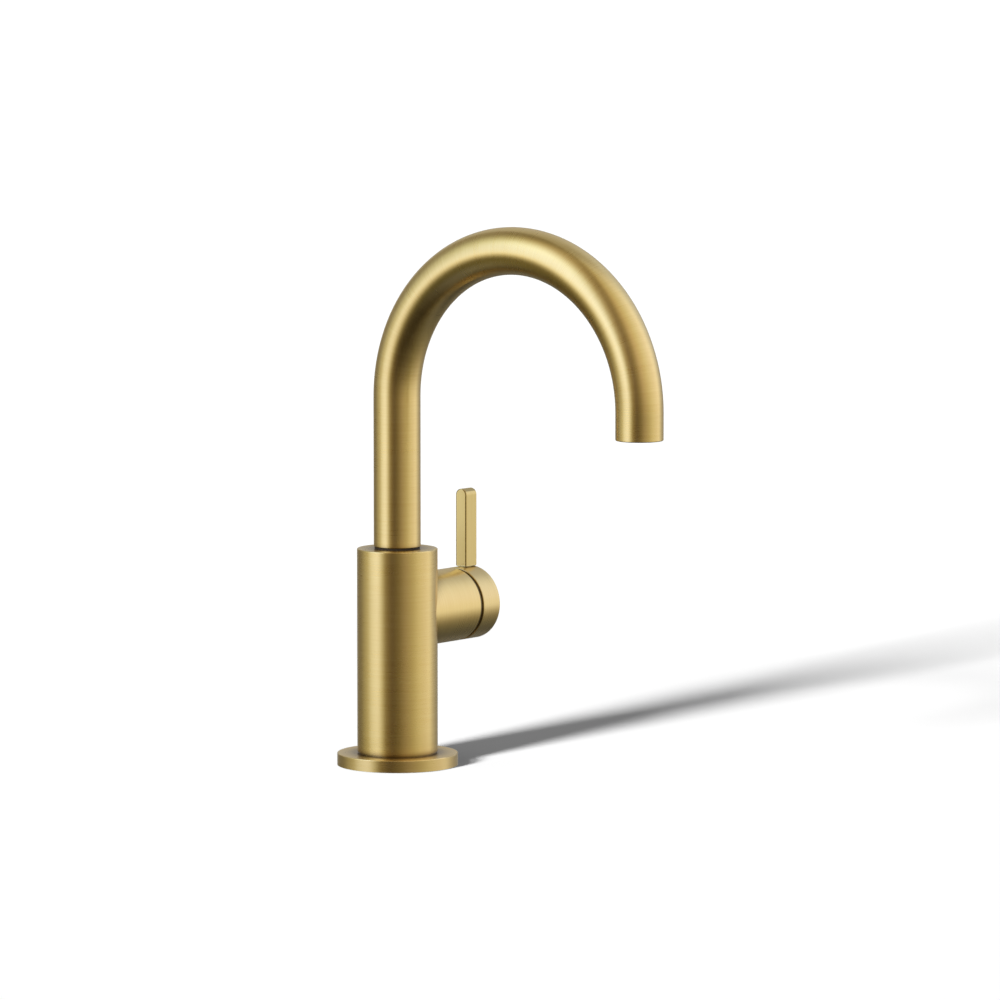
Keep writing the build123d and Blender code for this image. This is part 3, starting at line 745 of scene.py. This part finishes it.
def make_floor():
    """The pale worktop: it takes the key's light square on, and is clear from underneath."""
    sides = [(-1, -1), (1, -1), (1, 1), (-1, 1)]
    corners = [(x * FLOOR_REACH, y * FLOOR_REACH, -FLOOR_DROP) for x, y in sides]
    mesh = bpy.data.meshes.new("floor")
    mesh.from_pydata(corners, [], [(0, 1, 2, 3)])
    floor = bpy.data.objects.new("floor", mesh)
    bpy.context.scene.collection.objects.link(floor)
    made, graph = new_material("floor_white")
    seen = graph.node("LightPath").outputs["Is Camera Ray"]
    geometry = graph.node("NewGeometry").outputs
    # Painted light that fades the shadow's far end.
    along = graph.vector("DOT_PRODUCT", geometry["Position"], SHADOW_WAY)
    top = FLOOR_LIFT[-1][1]
    lift = graph.ramp(along, [(place, level / top) for place, level in FLOOR_LIFT])
    white = graph.mix(1.0, scaled(FLOOR_WHITE, top), lift, "MULTIPLY")
    matt = graph.node("BsdfDiffuse", [
        ("Color", graph.mix(seen, FLOOR_BOUNCE, white)), ("Normal", graph.join(*TO_KEY)),
    ])
    clear = graph.node("BsdfTransparent")
    graph.end("OutputMaterial", graph.choose(geometry["Backfacing"], matt.outputs[0], clear.outputs[0]))
    mesh.materials.append(made)
    floor.visible_glossy = False


make_camera()
make_world()
make_lamps()
make_floor()

shank = make_shank()
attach(shank, "base")
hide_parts("mounting_shank")

set_screw = make_set_screw()
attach(set_screw, "handle")
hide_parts("handle_set_screw")

# Satin brass, on the pieces that show, with painted shade in its corners and, on most pieces, a painted
# highlight on its edges.
body_brass = brass("brass_body", body_run, bump=0.08, shade=foot_shade)
# The plate's brass is a lighter copy: painted light on its top, beside the painted shade on its side.
plate_brass = brass(
    "brass_upright", upright_run, low=(0.835, 0.613, 0.275), high=(0.90, 0.68, 0.332), walls=0.0,
    shade=plate_shade,
)
hub_brass = brass(
    "brass_sideways", sideways_run, low=(0.765, 0.585, 0.28), high=(0.82, 0.645, 0.33), bump=0.06, shade_on_tops=0.3,
)
spout_brass = brass("brass_spout", spout_run)
# The lever's brass is a darker copy of the same brass: painted shade over the whole lever.
lever_brass = brass(
    "brass_lever", lever_run, low=(0.695, 0.54, 0.237), high=(0.757, 0.602, 0.28), roughness=0.33, bump=0.08,
    wear_and_highlight=0.0, shade_on_tops=0.2, walls=0.1, faceted=True,
)
dress(body_brass, "faucet_body")
dress(plate_brass, "escutcheon")
dress(hub_brass, "handle_hub")
dress(spout_brass, "spout_tube")
dress(lever_brass, "lever")

# Raw turned brass, on the pieces below and inside, also with painted shade in its corners and a painted
# highlight on its edges.
RAW_BRASS = {
    "low": (0.76, 0.60, 0.32), "high": (0.86, 0.70, 0.40), "roughness": 0.26, "stretch": 0.5, "bump": 0.2,
    "shade_on_tops": 0.5, "walls": 0.25,
}
raw_upright = brass("brass_turned", upright_run, **RAW_BRASS)
raw_sideways = brass("brass_turned_sideways", sideways_run, **RAW_BRASS)
dress(raw_upright, "mounting_shank", "mounting_nut", "spout_nose", "aerator_sleeve")
dress(raw_sideways, "cartridge_housing", "valve_stem")
shank.data.materials.append(raw_upright)

upright_steel = steel("steel_upright", upright_run)
sideways_steel = steel("steel_sideways", sideways_run)
dress(upright_steel, "deck_washer_steel", "spout_retaining_ring", "aerator_screen", "handle_set_screw")
dress(sideways_steel, "stem_clip")
set_screw.data.materials.append(upright_steel)

rubber = moulded("rubber_black", (0.012, 0.012, 0.012), (0.032, 0.031, 0.030), 0.62, grain=1500.0, bump=0.35)
acetal = moulded("acetal_black", (0.016, 0.010, 0.005), (0.030, 0.020, 0.011), 0.6)
seam_brown = moulded("acetal_brown", (0.21, 0.165, 0.085), (0.30, 0.24, 0.135), 0.42, metal=0.85)
grey = moulded("plastic_grey", (0.40, 0.40, 0.39), (0.54, 0.54, 0.53), 0.45)
alumina = moulded("ceramic_white", (0.80, 0.79, 0.75), (0.90, 0.89, 0.86), 0.22, grain=2200.0, bump=0.08)
dress(
    rubber, "deck_gasket", "shank_o_ring", "deck_washer_rubber", "seat_seal", "cartridge_o_ring",
    "stem_o_rings", "spout_o_rings", "aerator_gasket",
)
dress(acetal, "upper_glide_ring", "lower_glide_ring", "stem_slide_washer")
dress(seam_brown, "hub_glide_ring")
dress(grey, "aerator_insert", "aerator_housing")
dress(alumina, "fixed_disc", "moving_disc")

# The shadow on the floor stays neutral grey, with no glow from the brass.
for node in nodes.values():
    node.visible_diffuse = False

bpy.context.scene.view_settings.view_transform = "Standard"
